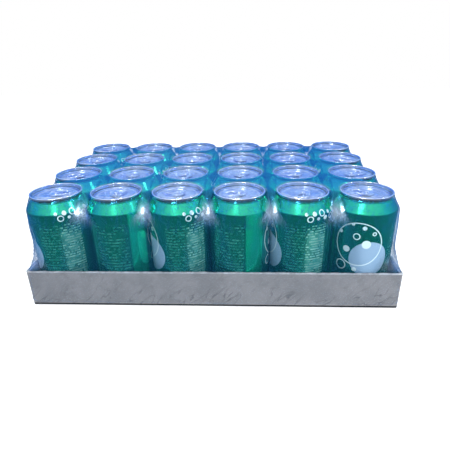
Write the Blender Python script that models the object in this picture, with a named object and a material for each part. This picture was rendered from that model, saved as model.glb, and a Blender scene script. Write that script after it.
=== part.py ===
"""Sealed tray of drink cans: four rows of six green aluminium cans in a low grey
cardboard tray, wrapped tightly in clear shrink film.

Units are metres. +X runs along the long side, the front is -Y and +Z is up. The origin
is on the floor, under the middle of the tray. Rows count from the front and columns
from the left.
"""

import math

import bmesh
import bpy

MM = 0.001

# Driving dimensions
COLUMNS = 6
ROWS = 4
CAN_RADIUS = 33.0 * MM
CAN_HEIGHT = 122.0 * MM
CAN_PITCH = 66.4 * MM
TRAY_WALL = 1.4 * MM
TRAY_HEIGHT = 43.5 * MM
FILM_THICKNESS = 0.4 * MM
GAP = 0.3 * MM

# Can body, heights above the ring that it stands on
CAN_SIDES = 16
STAND_RADIUS = 24.0 * MM
DOME_RISE = 9.0 * MM
CHIME_HEIGHT = 9.0 * MM
SHOULDER_HEIGHT = 105.0 * MM
SHOULDER_BEND_RADIUS = 29.2 * MM
SHOULDER_BEND_HEIGHT = 112.0 * MM
NECK_RADIUS = 26.3 * MM
RECESS_RADIUS = 24.6 * MM
RECESS_DEPTH = 4.8 * MM

# Can end, with its double seam, countersink, panel and ring-pull tab
SEAM_RADIUS = 27.4 * MM
SEAM_DEPTH = 2.4 * MM
SEAM_WIDTH = 1.5 * MM
END_UNDERSIDE_RADIUS = 24.1 * MM
COUNTERSINK_RADIUS = 23.4 * MM
COUNTERSINK_DEPTH = 6.1 * MM
PANEL_RADIUS = 22.4 * MM
PANEL_DEPTH = 4.0 * MM
TAB_LENGTH = 25.0 * MM
TAB_WIDTH = 16.0 * MM
TAB_HEIGHT = 1.8 * MM
TAB_CENTRE = 4.5 * MM           # the rivet is on the can's axis, the finger ring beyond it
TAB_SIDES = 10
TAB_SQUARENESS = 0.8
TAB_ROOT = 0.4 * MM             # depth that the tab is sunk into the panel
FINGER_HOLE_LENGTH = 11.0 * MM
FINGER_HOLE_WIDTH = 9.0 * MM
FINGER_HOLE_CENTRE = 8.5 * MM
FINGER_HOLE_SIDES = 6

# Direction of each tab in degrees, anticlockwise from +X, one line for each row
TAB_TURNS = (
    (20, 75, 150, 200, 265, 170),
    (215, 95, 255, 60, 175, 20),
    (70, 130, 10, 110, 185, 340),
    (160, 30, 280, 5, 95, 230),
)

# Tray
TRAY_FLOOR = 1.5 * MM
TRAY_FLAP = 22.0 * MM           # glued corner flap, folded in along the short walls

# Film, distances outward from the axes of the outer cans
LID_FLAT = 11.5 * MM            # half of the lid's straight stretch, seen as an octagon
LID_REACH = 27.9 * MM
LID_CORNER = 20.6 * MM
VALLEY_SAG = 3.0 * MM           # sag of the film where four cans meet
EDGE_SAG = 5.0 * MM             # sag of its top edge between two outer cans
EDGE_TUCK = 5.0 * MM

# Derived heights and half sizes
TRAY_BASE = FILM_THICKNESS + GAP
CAN_BASE = TRAY_BASE + TRAY_FLOOR + GAP
FILM_TOP = CAN_BASE + CAN_HEIGHT + GAP
TRAY_TOP = TRAY_BASE + TRAY_HEIGHT
POCKET_REACH = CAN_RADIUS + GAP
TRAY_REACH = POCKET_REACH + TRAY_WALL
FILM_REACH = TRAY_REACH + GAP
HALF_ROW = (COLUMNS - 1) * CAN_PITCH / 2
HALF_STACK = (ROWS - 1) * CAN_PITCH / 2

# Sides of the film from the shoulders down: height, reach and reach at the corners
FILM_LEVELS = (
    (107.0 * MM, 33.4 * MM, 24.8 * MM),
    (64.0 * MM, 33.4 * MM, 25.2 * MM),
    (53.0 * MM, 33.9 * MM, 28.0 * MM),
    (TRAY_TOP + GAP, FILM_REACH, FILM_REACH),
    (TRAY_BASE, FILM_REACH, FILM_REACH),
)


def remove_everything():
    for item in list(bpy.data.objects):
        bpy.data.objects.remove(item, do_unlink=True)


def plain_material(name, colour, roughness, metallic, alpha=1.0):
    material = bpy.data.materials.new(name)
    material.use_nodes = True
    shader = material.node_tree.nodes["Principled BSDF"]
    shader.inputs["Base Color"].default_value = (*colour, 1.0)
    shader.inputs["Roughness"].default_value = roughness
    shader.inputs["Metallic"].default_value = metallic
    shader.inputs["Alpha"].default_value = alpha
    return material


def finished_mesh(name, shape):
    """Turns a bmesh with outward faces into mesh data and frees it."""
    mesh = bpy.data.meshes.new(name)
    shape.to_mesh(mesh)
    shape.free()
    return mesh


def add_object(name, mesh, material=None):
    item = bpy.data.objects.new(name, mesh)
    bpy.context.collection.objects.link(item)
    if material and not mesh.materials:
        mesh.materials.append(material)
    return item


def can_axis(index, count):
    return (index - (count - 1) / 2) * CAN_PITCH


def turned_mesh(name, profile):
    """Closed solid of revolution. The profile runs up the outside from axis to axis."""
    shape = bmesh.new()
    rings = []
    for radius, height in profile[1:-1]:
        ring = []
        for side in range(CAN_SIDES):
            angle = 2 * math.pi * side / CAN_SIDES
            ring.append(shape.verts.new((radius * math.cos(angle), radius * math.sin(angle), height)))
        rings.append(ring)
    below = shape.verts.new((0, 0, profile[0][1]))
    above = shape.verts.new((0, 0, profile[-1][1]))
    for side in range(CAN_SIDES):
        after = (side + 1) % CAN_SIDES
        shape.faces.new((below, rings[0][after], rings[0][side]))
        shape.faces.new((above, rings[-1][side], rings[-1][after]))
        for lower, upper in zip(rings, rings[1:]):
            shape.faces.new((lower[side], lower[after], upper[after], upper[side]))
    return finished_mesh(name, shape)


def prism_mesh(name, outline, low, high):
    """Upright solid on an anticlockwise outline of (x, y) points."""
    shape = bmesh.new()
    floor = shape.faces.new([shape.verts.new((x, y, low)) for x, y in outline])
    lifted = bmesh.ops.extrude_face_region(shape, geom=[floor])["geom"]
    corners = [item for item in lifted if isinstance(item, bmesh.types.BMVert)]
    bmesh.ops.translate(shape, verts=corners, vec=(0, 0, high - low))
    bmesh.ops.recalc_face_normals(shape, faces=shape.faces)
    return finished_mesh(name, shape)


def rounded_outline(centre, length, width, sides):
    """Rounded oblong along X as a list of (x, y) points."""
    outline = []
    for side in range(sides):
        angle = 2 * math.pi * (side + 0.5) / sides
        across = math.copysign(abs(math.cos(angle)) ** TAB_SQUARENESS, math.cos(angle))
        along = math.copysign(abs(math.sin(angle)) ** TAB_SQUARENESS, math.sin(angle))
        outline.append((centre + across * length / 2, along * width / 2))
    return outline


def combined_mesh(name, base, steps):
    """Adds or cuts solids one after another and returns the mesh that is left."""
    result = base
    for operation, tool in steps:
        worker = add_object("worker", result)
        helper = add_object("helper", tool)
        modifier = worker.modifiers.new("Boolean", "BOOLEAN")
        modifier.operation = operation
        modifier.solver = "EXACT"
        modifier.object = helper
        bpy.context.view_layer.update()
        evaluated = worker.evaluated_get(bpy.context.evaluated_depsgraph_get())
        result = bpy.data.meshes.new_from_object(evaluated)
        bpy.data.objects.remove(worker, do_unlink=True)
        bpy.data.objects.remove(helper, do_unlink=True)
    result.name = name
    return result


def can_body_mesh():
    neck_height = CAN_HEIGHT - SEAM_DEPTH - GAP
    recess_height = neck_height - RECESS_DEPTH
    profile = [
        (0, DOME_RISE),
        (STAND_RADIUS, 0),
        (CAN_RADIUS, CHIME_HEIGHT),
        (CAN_RADIUS, SHOULDER_HEIGHT),
        (SHOULDER_BEND_RADIUS, SHOULDER_BEND_HEIGHT),
        (NECK_RADIUS, neck_height),
        (RECESS_RADIUS, recess_height),
        (0, recess_height),
    ]
    return turned_mesh("can_body", profile)


def can_end_mesh():
    seam_height = CAN_HEIGHT - SEAM_DEPTH
    underside = seam_height - RECESS_DEPTH + GAP / 2
    panel_height = CAN_HEIGHT - PANEL_DEPTH
    profile = [
        (0, underside),
        (END_UNDERSIDE_RADIUS, underside),
        (SEAM_RADIUS - SEAM_WIDTH, seam_height),
        (SEAM_RADIUS, seam_height),
        (SEAM_RADIUS, CAN_HEIGHT),
        (SEAM_RADIUS - SEAM_WIDTH, CAN_HEIGHT),
        (COUNTERSINK_RADIUS, CAN_HEIGHT - COUNTERSINK_DEPTH),
        (PANEL_RADIUS, panel_height),
        (0, panel_height),
    ]
    shell = turned_mesh("can_shell", profile)
    tab_outline = rounded_outline(TAB_CENTRE, TAB_LENGTH, TAB_WIDTH, TAB_SIDES)
    tab_top = panel_height + TAB_HEIGHT
    tab = prism_mesh("tab", tab_outline, panel_height - TAB_ROOT, tab_top)
    hole_outline = rounded_outline(
        FINGER_HOLE_CENTRE, FINGER_HOLE_LENGTH, FINGER_HOLE_WIDTH, FINGER_HOLE_SIDES
    )
    hole = prism_mesh("finger_hole", hole_outline, panel_height + GAP, tab_top + GAP)
    return combined_mesh("can_end", shell, [("UNION", tab), ("DIFFERENCE", hole)])


def build_cans():
    green = plain_material("green_printed_metal", (0.01, 0.30, 0.19), 0.32, 0.7)
    silver = plain_material("can_end_aluminium", (0.58, 0.66, 0.86), 0.28, 0.9)
    body_mesh = can_body_mesh()
    end_mesh = can_end_mesh()
    for row in range(ROWS):
        for column in range(COLUMNS):
            place = f"r{row + 1}c{column + 1}"
            for kind, mesh, material in (("body", body_mesh, green), ("end", end_mesh, silver)):
                piece = add_object(f"can_{kind}_{place}", mesh, material)
                piece.location = (can_axis(column, COLUMNS), can_axis(row, ROWS), CAN_BASE)
                piece.rotation_euler.z = math.radians(TAB_TURNS[row][column])


def rectangle(half_length, half_width):
    return [
        (-half_length, -half_width),
        (half_length, -half_width),
        (half_length, half_width),
        (-half_length, half_width),
    ]


def pocket_outline():
    """Inside of the tray walls, stepped in at each corner by the glued flap."""
    outline = []
    for along, across in rectangle(1, 1):
        wall_x = along * (HALF_ROW + POCKET_REACH)
        wall_y = across * (HALF_STACK + POCKET_REACH)
        flap_x = wall_x - along * TRAY_WALL
        flap_y = wall_y - across * TRAY_FLAP
        corner = [(flap_x, wall_y), (flap_x, flap_y), (wall_x, flap_y)]
        outline += corner if along * across < 0 else reversed(corner)
    return outline


def build_tray():
    cardboard = plain_material("grey_cardboard", (0.24, 0.25, 0.29), 0.85, 0.0)
    block = prism_mesh(
        "tray", rectangle(HALF_ROW + TRAY_REACH, HALF_STACK + TRAY_REACH), TRAY_BASE, TRAY_TOP
    )
    pocket = prism_mesh("pocket", pocket_outline(), TRAY_BASE + TRAY_FLOOR, TRAY_TOP + GAP)
    mesh = combined_mesh("tray", block, [("DIFFERENCE", pocket)])
    add_object("tray", mesh, cardboard)


def film_lines(count):
    """Four lines for each can across the sheet: its lid's edges and its straight stretch."""
    offsets = (-LID_REACH, -LID_FLAT, LID_FLAT, LID_REACH)
    return [can_axis(index, count) + offset for index in range(count) for offset in offsets]


def build_film_hood(film):
    """Film over the top and round the sides, open below, where the bottom sheet closes it."""
    shape = bmesh.new()
    columns = film_lines(COLUMNS)
    rows = film_lines(ROWS)
    last_column = len(columns) - 1
    last_row = len(rows) - 1

    def edge_place(i, j, reach, corner):
        """Place of the film's edge on two lines, from its distance beyond the outer cans' axes."""
        at_side = i in (0, last_column)
        at_end = j in (0, last_row)
        distance = corner if at_side and at_end else reach
        x = math.copysign(HALF_ROW + distance, columns[i]) if at_side else columns[i]
        y = math.copysign(HALF_STACK + distance, rows[j]) if at_end else rows[j]
        return x, y

    def is_well(i, j):
        """The film is unsupported where two lines at lids' edges cross."""
        return i % 4 in (0, 3) and j % 4 in (0, 3)

    def top_place(i, j):
        ends = (i in (0, last_column), j in (0, last_row))
        if all(ends) or not is_well(i, j):
            return (*edge_place(i, j, LID_REACH, LID_CORNER), FILM_TOP)
        if any(ends):
            return (*edge_place(i, j, LID_REACH - EDGE_TUCK, LID_CORNER), FILM_TOP - EDGE_SAG)
        return columns[i], rows[j], FILM_TOP - VALLEY_SAG

    sheet = [
        [shape.verts.new(top_place(i, j)) for j in range(last_row + 1)]
        for i in range(last_column + 1)
    ]
    for i in range(last_column):
        for j in range(last_row):
            spots = [(i, j), (i + 1, j), (i + 1, j + 1), (i, j + 1)]
            wells = [number for number, spot in enumerate(spots) if is_well(*spot)]
            corners = [sheet[a][b] for a, b in spots]
            if len(wells) == 1:
                corners = corners[wells[0]:] + corners[:wells[0]]
                shape.faces.new((corners[0], corners[1], corners[3]))
                shape.faces.new((corners[1], corners[2], corners[3]))
            else:
                shape.faces.new(corners)

    around = [(i, 0) for i in range(last_column)]
    around += [(last_column, j) for j in range(last_row)]
    around += [(i, last_row) for i in range(last_column, 0, -1)]
    around += [(0, j) for j in range(last_row, 0, -1)]
    loop = [sheet[i][j] for i, j in around]
    for height, reach, corner in FILM_LEVELS:
        lower = [
            shape.verts.new((*edge_place(i, j, reach, corner), height)) for i, j in around
        ]
        for number, upper_vertex in enumerate(loop):
            after = (number + 1) % len(loop)
            shape.faces.new((upper_vertex, lower[number], lower[after], loop[after]))
        loop = lower

    bmesh.ops.triangulate(shape, faces=shape.faces, quad_method="FIXED")
    hood = add_object("film_hood", finished_mesh("film_hood", shape), film)
    wall = hood.modifiers.new("Solidify", "SOLIDIFY")
    wall.thickness = FILM_THICKNESS
    wall.offset = 1.0


def build_film_base(film):
    reach = FILM_REACH + FILM_THICKNESS
    outline = rectangle(HALF_ROW + reach, HALF_STACK + reach)
    add_object("film_base", prism_mesh("film_base", outline, 0, FILM_THICKNESS), film)


def build():
    remove_everything()
    film = plain_material("clear_film", (0.50, 0.70, 0.85), 0.12, 0.0, alpha=0.3)
    build_cans()
    build_tray()
    build_film_hood(film)
    build_film_base(film)


build()
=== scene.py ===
import math
from types import SimpleNamespace

import bpy
import numpy as np
from mathutils import Euler, Matrix, Vector


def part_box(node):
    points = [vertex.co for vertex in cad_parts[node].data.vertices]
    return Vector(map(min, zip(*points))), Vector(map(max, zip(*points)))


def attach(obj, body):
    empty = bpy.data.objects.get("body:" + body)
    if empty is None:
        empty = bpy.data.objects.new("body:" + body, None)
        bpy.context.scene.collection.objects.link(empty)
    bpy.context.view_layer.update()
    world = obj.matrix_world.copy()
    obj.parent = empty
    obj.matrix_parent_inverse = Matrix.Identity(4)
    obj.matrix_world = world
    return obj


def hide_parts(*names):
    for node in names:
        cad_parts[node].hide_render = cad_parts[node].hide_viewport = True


# Looks of a sealed tray of drink cans: printed metallic bodies, aluminium ends with
# ring-pull tabs, a grey corrugated tray and clear shrink film drawn tight over them.
# Shapes are worked out in millimetres in each piece's own frame, then scaled to metres.

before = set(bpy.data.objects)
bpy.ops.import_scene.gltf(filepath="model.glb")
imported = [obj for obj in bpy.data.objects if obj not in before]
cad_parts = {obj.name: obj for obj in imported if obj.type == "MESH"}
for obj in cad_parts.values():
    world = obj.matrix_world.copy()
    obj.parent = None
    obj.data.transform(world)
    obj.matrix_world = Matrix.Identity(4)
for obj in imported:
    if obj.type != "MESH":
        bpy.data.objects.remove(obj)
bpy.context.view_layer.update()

MM = 0.001
PLACES = sorted(name[-4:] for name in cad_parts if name.startswith("can_body_"))
ROWS = max(int(place[1]) for place in PLACES)
COLUMNS = max(int(place[3]) for place in PLACES)

# Can, in millimetres above the ring that it stands on
WALL_RADIUS = 33.0
SEAM_RADIUS = 27.4
NECK_RADIUS = 26.3
CAN_HEIGHT = 122.0
PANEL_HEIGHT = 118.0
PANEL_RADIUS = 22.0
CAN_SIDES = 96

# Photograph's camera
CAMERA_PLACE = (0.0390, -0.5008, 0.2663)
CAMERA_PITCH = 24.43
CAMERA_YAW = 3.148
CAMERA_ROLL = -1.284
CAMERA_LENS = 31.97
SENSOR_WIDTH = 36.0

# Turn of the print on each can of the front row, in degrees
FRONT_PRINT_TURNS = (-160.0, 36.0, -159.0, 16.0, -177.0, -100.0)
PRINT_TURN = "print_turn"
GOLDEN_ANGLE = 137.5


def middle(node):
    low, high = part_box(node)
    return (low + high) / 2


CAN_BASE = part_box("can_body_r1c1")[0].z / MM
CAN_AXES = {place: middle(f"can_body_{place}") / MM for place in PLACES}
HALF_ROW = CAN_AXES[f"r1c{COLUMNS}"].x
HALF_STACK = CAN_AXES[f"r{ROWS}c1"].y
CAN_PITCH = 2 * HALF_ROW / (COLUMNS - 1)
TRAY_LOW, TRAY_HIGH = (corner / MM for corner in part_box("tray"))
FILM_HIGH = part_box("film_hood")[1] / MM


# Meshes: a shell is a pair of point and face lists in millimetres
NOISE_CELLS = 64


def arc(centre_r, centre_z, radius, start, end, steps):
    """Points (r, z) round a centre, between two angles in degrees from +r."""
    angles = np.radians(np.linspace(start, end, steps + 1))
    return [(centre_r + radius * math.cos(a), centre_z + radius * math.sin(a)) for a in angles]


def turned_shell(profile, sides):
    """Closed shell of revolution. The profile runs up the outside from axis to axis."""
    points = [(0, 0, profile[0][1]), (0, 0, profile[-1][1])]
    for radius, height in profile[1:-1]:
        for side in range(sides):
            angle = 2 * math.pi * side / sides
            points.append((radius * math.cos(angle), radius * math.sin(angle), height))
    faces = []
    rings = len(profile) - 2
    for side in range(sides):
        after = (side + 1) % sides
        faces.append((0, 2 + after, 2 + side))
        faces.append((1, 2 + (rings - 1) * sides + side, 2 + (rings - 1) * sides + after))
        for ring in range(rings - 1):
            lower, upper = 2 + ring * sides, 2 + (ring + 1) * sides
            faces.append((lower + side, lower + after, upper + after, upper + side))
    return points, faces


def looped_shell(loops):
    """Closed shell through a closed series of equally long closed loops."""
    size = len(loops[0])
    points = [point for loop in loops for point in loop]
    faces = []
    for number in range(len(loops)):
        here, there = number * size, (number + 1) % len(loops) * size
        for side in range(size):
            after = (side + 1) % size
            faces.append((here + side, here + after, there + after, there + side))
    return points, faces


def joined_shells(shells):
    points, faces = [], []
    for some_points, some_faces in shells:
        start = len(points)
        points += list(some_points)
        faces += [tuple(start + number for number in face) for face in some_faces]
    return points, faces


def shell_mesh(name, shell, sharp_degrees=35.0, turn=0.0):
    """Smooth mesh of a shell in metres, turned about the upright axis."""
    points, faces = shell
    turned = np.array(points, float)
    turned[:, 0], turned[:, 1] = (
        turned[:, 0] * math.cos(turn) - turned[:, 1] * math.sin(turn),
        turned[:, 0] * math.sin(turn) + turned[:, 1] * math.cos(turn),
    )
    mesh = bpy.data.meshes.new(name)
    mesh.from_pydata((turned * MM).tolist(), [], faces)
    mesh.shade_smooth()
    mesh.set_sharp_from_angle(angle=math.radians(sharp_degrees))
    mesh.update()
    return mesh


def add_piece(name, mesh, material, nodes):
    """Adds a piece that rides on the tray's one body and stands for the named nodes."""
    piece = bpy.data.objects.new(name, mesh)
    bpy.context.scene.collection.objects.link(piece)
    mesh.materials.append(material)
    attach(piece, "root")
    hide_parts(*nodes)
    return piece


def smooth_step(value, low, high):
    share = np.clip((value - low) / (high - low), 0, 1)
    return share * share * (3 - 2 * share)


def lattice_noise(u, v, seed):
    """Smooth noise from 0 to 1 over a grid of seeded random values."""
    table = np.random.default_rng(seed).random((NOISE_CELLS, NOISE_CELLS))
    i, j = np.floor(u).astype(int), np.floor(v).astype(int)
    across, along = smooth_step(u - i, 0, 1), smooth_step(v - j, 0, 1)

    def row_value(row):
        row = row % NOISE_CELLS
        first, second = table[i % NOISE_CELLS, row], table[(i + 1) % NOISE_CELLS, row]
        return first * (1 - across) + second * across

    return row_value(j) * (1 - along) + row_value(j + 1) * along


# Materials


class Nodes:
    """Short ways to add shader nodes to one node tree."""

    def __init__(self, tree):
        self.tree = tree

    def new(self, kind, inputs=(), **settings):
        node = self.tree.nodes.new(kind)
        for key, value in settings.items():
            setattr(node, key, value)
        for key, value in dict(inputs).items():
            self.feed(node.inputs[key], value)
        return node

    def feed(self, socket, value):
        if isinstance(value, bpy.types.NodeSocket):
            self.tree.links.new(value, socket)
        elif isinstance(value, tuple):
            socket.default_value = (*value, 1.0)
        else:
            socket.default_value = value

    def maths(self, operation, *values):
        node = self.new("ShaderNodeMath", operation=operation)
        for number, value in enumerate(values):
            self.feed(node.inputs[number], value)
        return node.outputs[0]

    def total(self, *values):
        result = values[0]
        for value in values[1:]:
            result = self.maths("ADD", result, value)
        return result

    def product(self, *values):
        result = values[0]
        for value in values[1:]:
            result = self.maths("MULTIPLY", result, value)
        return result

    def ramp(self, value, low, high, first=0.0, last=1.0):
        """Smooth change from first to last as the value passes from low to high."""
        node = self.new("ShaderNodeMapRange", interpolation_type="SMOOTHSTEP")
        numbers = {"Value": value, "From Min": low, "From Max": high}
        numbers.update({"To Min": first, "To Max": last})
        for key, number in numbers.items():
            self.feed(node.inputs[key], number)
        return node.outputs[0]

    def band(self, value, low, high, soft):
        """One between low and high and zero outside, with soft edges."""
        rise = self.ramp(value, low - soft, low + soft)
        return self.product(rise, self.ramp(value, high - soft, high + soft, 1.0, 0.0))

    def mix(self, factor, first, second):
        node = self.new("ShaderNodeMix", data_type="RGBA")
        self.feed(node.inputs["Factor"], factor)
        self.feed(node.inputs[6], first)
        self.feed(node.inputs[7], second)
        return node.outputs[2]

    def steps(self, value, stops):
        """Colour that changes with a value from -1 to 1 through (value, colour) stops."""
        share = self.maths("MULTIPLY_ADD", value, 0.5, 0.5)
        node = self.new("ShaderNodeValToRGB", {"Fac": share})
        elements = node.color_ramp.elements
        while len(elements) < len(stops):
            elements.new(1.0)
        for element, (place, colour) in zip(elements, stops):
            element.position = (place + 1) / 2
            element.color = (*colour, 1.0)
        return node.outputs[0]

    def noise(self, vector, scale=1.0, detail=3.0, roughness=0.5):
        inputs = {"Vector": vector, "Scale": scale, "Detail": detail, "Roughness": roughness}
        return self.new("ShaderNodeTexNoise", inputs).outputs["Fac"]

    def creases(self, vector, scale, width):
        """Thin wandering lines, one on the line and zero away from it."""
        ridge = self.maths("ABSOLUTE", self.maths("SUBTRACT", self.noise(vector, scale, 2.0), 0.5))
        return self.ramp(ridge, 0.0, width, 1.0, 0.0)

    def vector(self, x, y, z):
        node = self.new("ShaderNodeCombineXYZ")
        for number, value in enumerate((x, y, z)):
            self.feed(node.inputs[number], value)
        return node.outputs[0]

    def scaled(self, place, factors):
        """Vector of three coordinates, each times its own factor."""
        return self.vector(*(self.product(value, factor) for value, factor in zip(place, factors)))

    def place(self):
        """The piece's own coordinates in millimetres: x, y, z and all three as a vector."""
        here = self.new("ShaderNodeTexCoord").outputs["Object"]
        scaled = self.new("ShaderNodeVectorMath", operation="SCALE")
        self.feed(scaled.inputs[0], here)
        self.feed(scaled.inputs["Scale"], 1 / MM)
        apart = self.new("ShaderNodeSeparateXYZ", {0: scaled.outputs[0]})
        return (*apart.outputs, scaled.outputs[0])


class Material(Nodes):
    """A new material with one Principled shader."""

    def __init__(self, name):
        self.material = bpy.data.materials.new(name)
        self.material.use_nodes = True
        super().__init__(self.material.node_tree)
        self.shader = self.tree.nodes["Principled BSDF"]

    def bump(self, height, distance, strength=1.0):
        inputs = {"Height": height, "Distance": distance, "Strength": strength}
        self.feed(self.shader.inputs["Normal"], self.new("ShaderNodeBump", inputs).outputs[0])

    def finish(self, **values):
        """Sets inputs of the shader by their names, with spaces for underscores."""
        for key, value in values.items():
            self.feed(self.shader.inputs[key.replace("_", " ")], value)
        return self.material


# Print layout: degrees round the can from the middle of its front, and millimetres up it.
# A disc has the angle and the height of its centre, and its radius.
MM_PER_DEGREE = math.radians(WALL_RADIUS)
PRINT_LINE, PRINT_LINE_SOFT = 106.0, 0.4
NECK_LINE, NECK_LINE_SOFT = 117.5, 0.5
# Painted reflection: a lighter green band down the wall where it mirrors bright surroundings
REFLECTION_STRIPE, REFLECTION_STRIPE_SOFT = (-94.0, -60.0), 1.5
DISC = (11.0, 57.0, 20.0)
RING = (-10.0, 73.0, 24.0)
RING_LINE = 1.1
DISC_SOFT = 0.3
BUBBLES = (
    (4.0, 74.0, 4.6), (-14.0, 82.0, 3.2), (-2.0, 92.0, 2.2), (-30.0, 66.0, 3.6), (16.0, 86.0, 1.7),
    (-22.0, 95.0, 1.6), (-44.0, 84.0, 2.0), (-38.0, 46.0, 5.2), (-12.0, 44.0, 2.4),
)
BEADS = tuple((88.0 + 7.5 * n, 104.5 + 2.6 * (-1) ** n, 1.7 + 0.6 * (n * 5 % 3)) for n in range(9))

# Panels of fine marks: the ends in degrees, the height of a row, the length of a mark, the share
# of places that have a mark, the seed, and the strength of the haze behind the marks
MARKS_BOTTOM, MARKS_TOP, MARKS_SOFT = 14.0, 96.0, 0.4
MARKS_END_SOFT = 0.5
MARK_LINE, MARK_LINE_SOFT = (0.28, 0.72), 0.1
FAINTEST_MARK = 0.4
QUIET_WASH, BRIGHT_WASH = 0.10, 0.45
WASH_FADE, WASH_DROP = 7.0, 14.0
DARK_TEXT = ((50.0, 88.0), 3.3, 2.0, 0.7, 1, QUIET_WASH)
BACK_TEXT = ((-160.0, -98.0), 3.5, 2.2, 0.65, 2, QUIET_WASH)
BRIGHT_TEXT = ((90.0, 128.0), 2.9, 1.9, 0.7, 3, BRIGHT_WASH)
QUIET_INK, BRIGHT_INK = 0.34, 0.80

WALL_GREEN = (0.004, 0.37, 0.28)
SHOULDER_GREEN = (0.03, 0.62, 0.36)
REFLECTION_STRIPE_GREEN = (0.008, 0.95, 0.52)
MARK_GREEN = (0.17, 0.48, 0.43)
BRIGHT_MARK_GREEN = (0.23, 0.56, 0.47)
PALE_BLUE = (0.30, 0.46, 0.62)
PRINT_WHITE = (0.70, 0.86, 0.88)
# Neck colour: partly the bare grey metal above the print, partly painted shade under the rim of the
# end
NECK_GREY_AND_SHADE = (0.10, 0.16, 0.16)

# Roughness of the print, what ink, shoulder and neck add to it, and how metallic it is
PRINT_ROUGH = (0.20, 0.26)
INK_ROUGH, SHOULDER_ROUGH, NECK_ROUGH = 0.15, -0.05, 0.30
PRINT_METAL, INK_METAL = 0.86, 0.11
VARNISH, VARNISH_ROUGH = 0.3, 0.06


class CanPrint(Material):
    """A material with flat shapes wrapped round the can."""

    def __init__(self, name):
        super().__init__(name)
        x, y, self.z, self.here = self.place()
        turn = self.new("ShaderNodeAttribute", attribute_name=PRINT_TURN).outputs["Fac"]
        bearing = self.maths("DEGREES", self.maths("ARCTAN2", y, x))
        self.angle = self.maths("WRAP", self.maths("SUBTRACT", bearing, turn), 180.0, -180.0)
        self.around = self.product(self.angle, MM_PER_DEGREE)

    def above(self, height, soft):
        return self.ramp(self.z, height - soft, height + soft)

    def disc(self, centre_angle, height, radius):
        """Distance to the edge of a disc, below zero inside it."""
        sideways = self.maths("SUBTRACT", self.around, centre_angle * MM_PER_DEGREE)
        upward = self.maths("SUBTRACT", self.z, height)
        squares = self.total(self.maths("POWER", sideways, 2.0), self.maths("POWER", upward, 2.0))
        return self.maths("SUBTRACT", self.maths("SQRT", squares), radius)

    def filled(self, field):
        return self.ramp(field, -DISC_SOFT, DISC_SOFT, 1.0, 0.0)

    def outlined(self, field):
        return self.filled(self.maths("SUBTRACT", self.maths("ABSOLUTE", field), RING_LINE / 2))

    def marks(self, ends, row, length, share, seed, wash):
        """Rows of short fine marks that fill one panel, over a faint haze."""
        row_place = self.maths("DIVIDE", self.z, row)
        column = self.maths("FLOOR", self.maths("DIVIDE", self.around, length))
        spot = self.vector(column, self.maths("FLOOR", row_place), float(seed))
        toss = self.new("ShaderNodeTexWhiteNoise", {"Vector": spot}, noise_dimensions="3D").outputs[0]
        line = self.band(self.maths("FRACT", row_place), *MARK_LINE, MARK_LINE_SOFT)
        weight = self.ramp(toss, 0.0, share, FAINTEST_MARK, 1.0)
        drawn = self.product(self.maths("LESS_THAN", toss, share), line, weight)
        rows = self.band(self.z, MARKS_BOTTOM, MARKS_TOP, MARKS_SOFT)
        panel = self.product(self.band(self.angle, *ends, MARKS_END_SOFT), rows)
        below_top = self.ramp(self.z, MARKS_TOP - WASH_DROP, MARKS_TOP, 1.0, 0.0)
        haze = self.product(self.band(self.angle, *ends, WASH_FADE), below_top, wash)
        return self.total(self.product(panel, drawn), haze)


def print_material():
    """Green metallic print with plain bands, rows of fine marks, discs and bubbles; one lighter band
    down the wall is a painted reflection, and the grey at the neck is partly painted shade.
    """
    m = CanPrint("can_print")
    shoulder = m.above(PRINT_LINE, PRINT_LINE_SOFT)
    neck = m.above(NECK_LINE, NECK_LINE_SOFT)
    wall = m.maths("SUBTRACT", 1.0, shoulder)
    # Painted reflection: the lighter band down the wall
    reflection_stripe = m.product(m.band(m.angle, *REFLECTION_STRIPE, REFLECTION_STRIPE_SOFT), wall)
    quiet = m.product(m.maths("MAXIMUM", m.marks(*DARK_TEXT), m.marks(*BACK_TEXT)), QUIET_INK)
    bright = m.product(m.marks(*BRIGHT_TEXT), BRIGHT_INK)
    pale = m.filled(m.disc(*DISC))
    white = m.outlined(m.disc(*RING))
    for number, bubble in enumerate((*BUBBLES, *BEADS)):
        drawn = m.outlined if number % 3 == 1 else m.filled
        white = m.maths("MAXIMUM", white, drawn(m.disc(*bubble)))
    # The neck's grey is partly painted shade under the end's rim
    colour = m.mix(neck, m.mix(shoulder, WALL_GREEN, SHOULDER_GREEN), NECK_GREY_AND_SHADE)
    layers = (
        (reflection_stripe, REFLECTION_STRIPE_GREEN),
        (quiet, MARK_GREEN),
        (bright, BRIGHT_MARK_GREEN),
        (pale, PALE_BLUE),
        (white, PRINT_WHITE),
    )
    for share, paint in layers:
        colour = m.mix(share, colour, paint)
    ink = m.maths("MAXIMUM", m.maths("MAXIMUM", white, pale), m.maths("MAXIMUM", quiet, bright))
    rough = m.total(
        m.ramp(m.noise(m.here, 0.08, 3.0), 0.3, 0.7, *PRINT_ROUGH),
        m.product(ink, INK_ROUGH),
        m.product(shoulder, SHOULDER_ROUGH),
        m.product(neck, NECK_ROUGH),
    )
    metal = m.maths("MULTIPLY_ADD", ink, INK_METAL - PRINT_METAL, PRINT_METAL)
    m.finish(Base_Color=colour, Roughness=rough, Metallic=metal)
    return m.finish(Coat_Weight=VARNISH, Coat_Roughness=VARNISH_ROUGH)


# Silver of the aluminium with a painted lilac-blue sky reflection, lighter and darker in patches
LID_SILVER_SKY_LIGHT = (0.88, 0.92, 1.0)
LID_SILVER_SKY_DARK = (0.64, 0.70, 0.97)
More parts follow.
